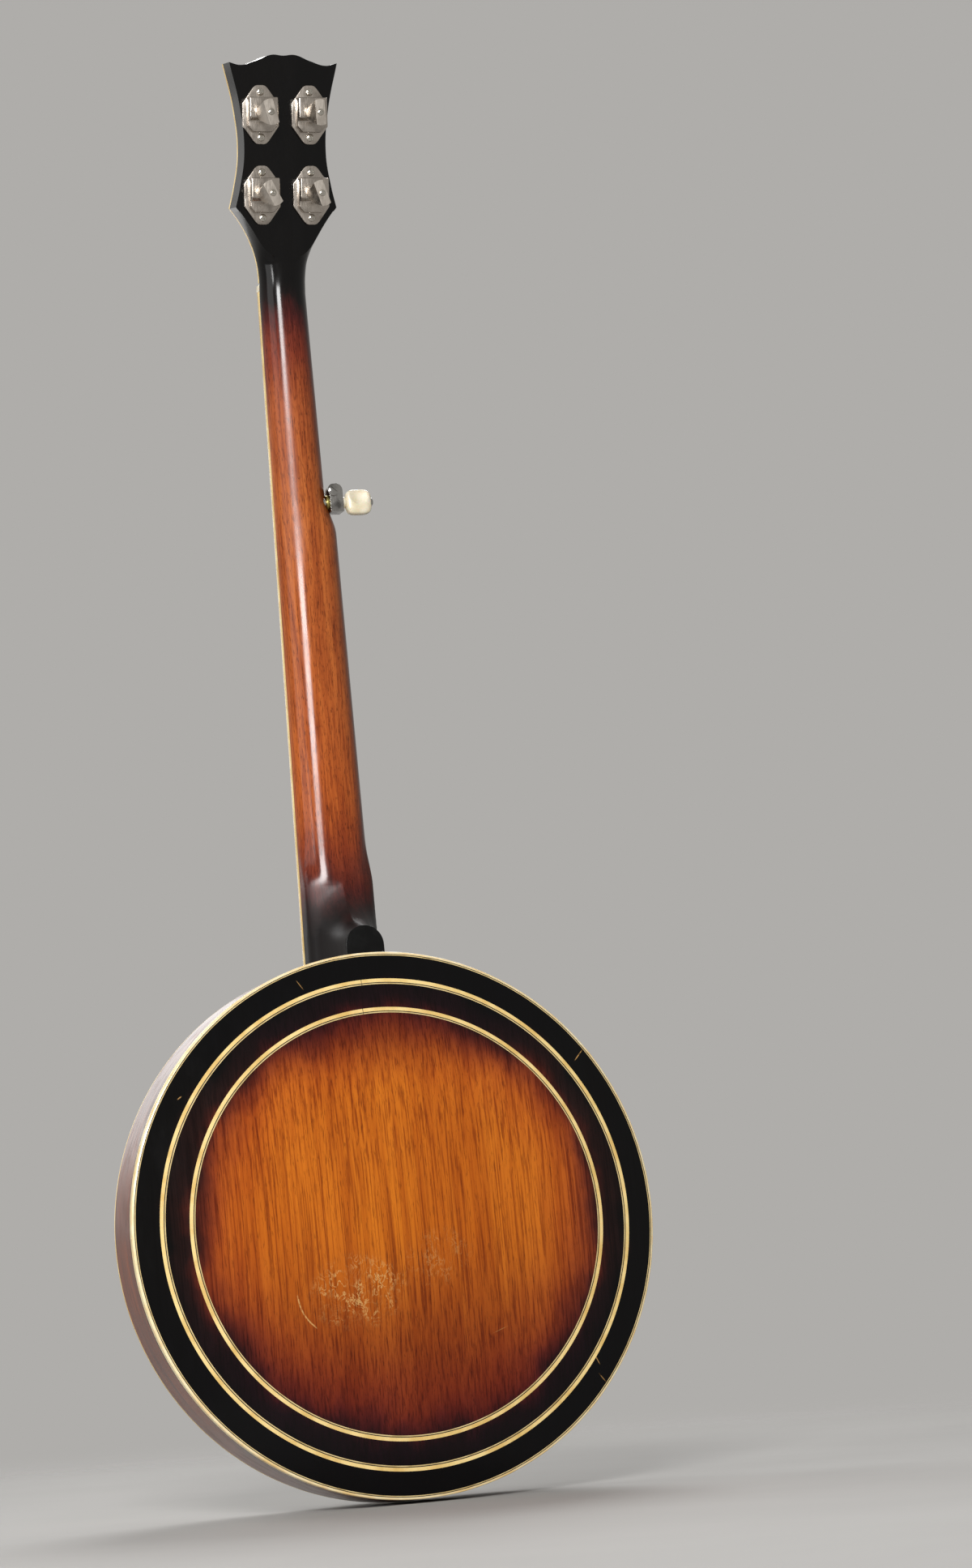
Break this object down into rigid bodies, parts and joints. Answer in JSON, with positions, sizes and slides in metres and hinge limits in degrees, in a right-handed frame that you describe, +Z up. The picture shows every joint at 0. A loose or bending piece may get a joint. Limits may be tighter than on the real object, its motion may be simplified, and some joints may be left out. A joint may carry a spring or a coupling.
{
  "type": "resonator banjo",
  "caption": "Resonator banjo: a drum-like body with a head stretched by hooks and a wooden resonator behind it, a long fretted neck, tuners behind the headstock and a short drone string's peg.",
  "frame": {"origin": "lowest point of the resonator's edge, in the plane of its back edge, where the banjo rests in a stand's cradle", "axes": "+Z runs up along the neck to the headstock, +Y points out of the front through the head and the strings, and +X is the bass side, with the short string's peg"},
  "size_m": [0.35, 0.1044, 0.9559],
  "materials": {
    "mahogany": "gloss lacquer, shaded from amber to black at the edges",
    "black_veneer": "gloss black lacquer",
    "black_plastic": "gloss",
    "maple": "satin",
    "rosewood": "open-pored, satin",
    "cream_celluloid": "gloss, aged cream",
    "bone": "polished by use",
    "cream_plastic": "gloss, aged cream",
    "satin_nickel": "satin nickel plate",
    "polished_nickel": "polished nickel plate",
    "steel": "plain steel",
    "bell_bronze": "turned bronze",
    "frosted_film": "frosted white coating"
  },
  "bodies": {
    "root": {"armrest": "polished_nickel", "armrest_bracket": "polished_nickel", "bridge": "maple", "coordinator_rod_lower": "steel", "coordinator_rod_upper": "steel", "fifth_peg_housing": "polished_nickel", "fifth_string_nut": "bone", "fingerboard": "rosewood", "flange": "polished_nickel", "head": "frosted_film", "headstock_overlay": "black_veneer", "heel_cap": "black_plastic", "inner_ring_inlay": "cream_celluloid", "neck": "mahogany", "neck_bolt_lower": "steel", "neck_bolt_upper": "steel", "nut": "bone", "outer_ring_inlay": "cream_celluloid", "resonator_back": "mahogany", "resonator_back_binding": "cream_celluloid", "resonator_front_binding": "cream_celluloid", "resonator_side": "mahogany", "rim": "maple", "string_1": "steel", "string_2": "steel", "string_3": "steel", "string_4": "steel", "string_5": "steel", "tailpiece_base": "polished_nickel", "tailpiece_hanger": "polished_nickel", "tailpiece_hinge_pin": "steel", "tension_hoop": "polished_nickel", "tone_ring": "bell_bronze", "truss_rod": "steel", "truss_rod_cover": "black_plastic", "tuner_housing_lower_bass": "satin_nickel", "tuner_housing_lower_treble": "satin_nickel", "tuner_housing_upper_bass": "satin_nickel", "tuner_housing_upper_treble": "satin_nickel", "wall_lug_1": "polished_nickel", "wall_lug_2": "polished_nickel", "wall_lug_3": "polished_nickel", "wall_lug_4": "polished_nickel"},
    "tuner_button_lower_treble": {"tuner_button_lower_treble": "satin_nickel"},
    "tuner_post_lower_treble": {"tuner_post_lower_treble": "satin_nickel"},
    "tuner_button_lower_bass": {"tuner_button_lower_bass": "satin_nickel"},
    "tuner_post_lower_bass": {"tuner_post_lower_bass": "satin_nickel"},
    "tuner_button_upper_treble": {"tuner_button_upper_treble": "satin_nickel"},
    "tuner_post_upper_treble": {"tuner_post_upper_treble": "satin_nickel"},
    "tuner_button_upper_bass": {"tuner_button_upper_bass": "satin_nickel"},
    "tuner_post_upper_bass": {"tuner_post_upper_bass": "satin_nickel"},
    "fifth_peg_button": {"fifth_peg_button": "cream_plastic"},
    "fifth_peg_post": {"fifth_peg_post": "polished_nickel"},
    "thumbscrew_1": {"thumbscrew_1": "polished_nickel"},
    "thumbscrew_2": {"thumbscrew_2": "polished_nickel"},
    "thumbscrew_3": {"thumbscrew_3": "polished_nickel"},
    "thumbscrew_4": {"thumbscrew_4": "polished_nickel"},
    "tailpiece_cover": {"tailpiece_cover": "polished_nickel"},
    "tailpiece_screw": {"tailpiece_screw": "polished_nickel"},
    "truss_rod_nut": {"truss_rod_nut": "steel"}
  },
  "joints": [
    {"name": "tuner_button_lower_treble_turn", "type": "hinge", "parent": "root", "child": "tuner_button_lower_treble", "pos_m": [-0.02, 0.0372, 0.86496], "axis": [0, 0.9744, 0.225], "continuous": true},
    {"name": "tuner_post_lower_treble_turn", "type": "hinge", "parent": "root", "child": "tuner_post_lower_treble", "pos_m": [-0.02, 0.0372, 0.86496], "axis": [0, 0.9744, 0.225], "continuous": true},
    {"name": "tuner_button_lower_bass_turn", "type": "hinge", "parent": "root", "child": "tuner_button_lower_bass", "pos_m": [0.014, 0.0372, 0.86496], "axis": [0, 0.9744, 0.225], "continuous": true},
    {"name": "tuner_post_lower_bass_turn", "type": "hinge", "parent": "root", "child": "tuner_post_lower_bass", "pos_m": [0.014, 0.0372, 0.86496], "axis": [0, 0.9744, 0.225], "continuous": true},
    {"name": "tuner_button_upper_treble_turn", "type": "hinge", "parent": "root", "child": "tuner_button_upper_treble", "pos_m": [-0.02, 0.02528, 0.9166], "axis": [0, 0.9744, 0.225], "continuous": true},
    {"name": "tuner_post_upper_treble_turn", "type": "hinge", "parent": "root", "child": "tuner_post_upper_treble", "pos_m": [-0.02, 0.02528, 0.9166], "axis": [0, 0.9744, 0.225], "continuous": true},
    {"name": "tuner_button_upper_bass_turn", "type": "hinge", "parent": "root", "child": "tuner_button_upper_bass", "pos_m": [0.014, 0.02528, 0.9166], "axis": [0, 0.9744, 0.225], "continuous": true},
    {"name": "tuner_post_upper_bass_turn", "type": "hinge", "parent": "root", "child": "tuner_post_upper_bass", "pos_m": [0.014, 0.02528, 0.9166], "axis": [0, 0.9744, 0.225], "continuous": true},
    {"name": "fifth_peg_button_turn", "type": "hinge", "parent": "root", "child": "fifth_peg_button", "pos_m": [0.03, 0.049, 0.6578], "axis": [1, 0, 0], "continuous": true},
    {"name": "fifth_peg_post_turn", "type": "hinge", "parent": "root", "child": "fifth_peg_post", "pos_m": [0.0176, 0.049, 0.6654], "axis": [0, 1, 0], "continuous": true},
    {"name": "thumbscrew_1_turn", "type": "hinge", "parent": "root", "child": "thumbscrew_1", "pos_m": [0.12048, 0.045, 0.28478], "axis": [0, 1, 0], "continuous": true},
    {"name": "thumbscrew_2_turn", "type": "hinge", "parent": "root", "child": "thumbscrew_2", "pos_m": [0.11346, 0.045, 0.05797], "axis": [0, 1, 0], "continuous": true},
    {"name": "thumbscrew_3_turn", "type": "hinge", "parent": "root", "child": "thumbscrew_3", "pos_m": [-0.11346, 0.045, 0.05797], "axis": [0, 1, 0], "continuous": true},
    {"name": "thumbscrew_4_turn", "type": "hinge", "parent": "root", "child": "thumbscrew_4", "pos_m": [-0.12048, 0.045, 0.28478], "axis": [0, 1, 0], "continuous": true},
    {"name": "tailpiece_cover_swing", "type": "hinge", "parent": "root", "child": "tailpiece_cover", "pos_m": [0, 0.0816, 0.0395], "axis": [-1, 0, 0], "range_deg": [0, 75]},
    {"name": "tailpiece_screw_turn", "type": "hinge", "parent": "root", "child": "tailpiece_screw", "pos_m": [0, 0.079, 0.0315], "axis": [0, 1, 0], "continuous": true},
    {"name": "truss_rod_nut_turn", "type": "hinge", "parent": "root", "child": "truss_rod_nut", "pos_m": [-0.0031, 0.04517, 0.8195], "axis": [-0.0062, -0.0344, 0.9994], "continuous": true}
  ],
  "couplings": [
    {"joint": "tuner_post_lower_treble_turn", "follows": "tuner_button_lower_treble_turn", "ratio": 0.25},
    {"joint": "tuner_post_lower_bass_turn", "follows": "tuner_button_lower_bass_turn", "ratio": 0.25},
    {"joint": "tuner_post_upper_treble_turn", "follows": "tuner_button_upper_treble_turn", "ratio": 0.25},
    {"joint": "tuner_post_upper_bass_turn", "follows": "tuner_button_upper_bass_turn", "ratio": 0.25},
    {"joint": "fifth_peg_post_turn", "follows": "fifth_peg_button_turn", "ratio": 0.071429}
  ]
}
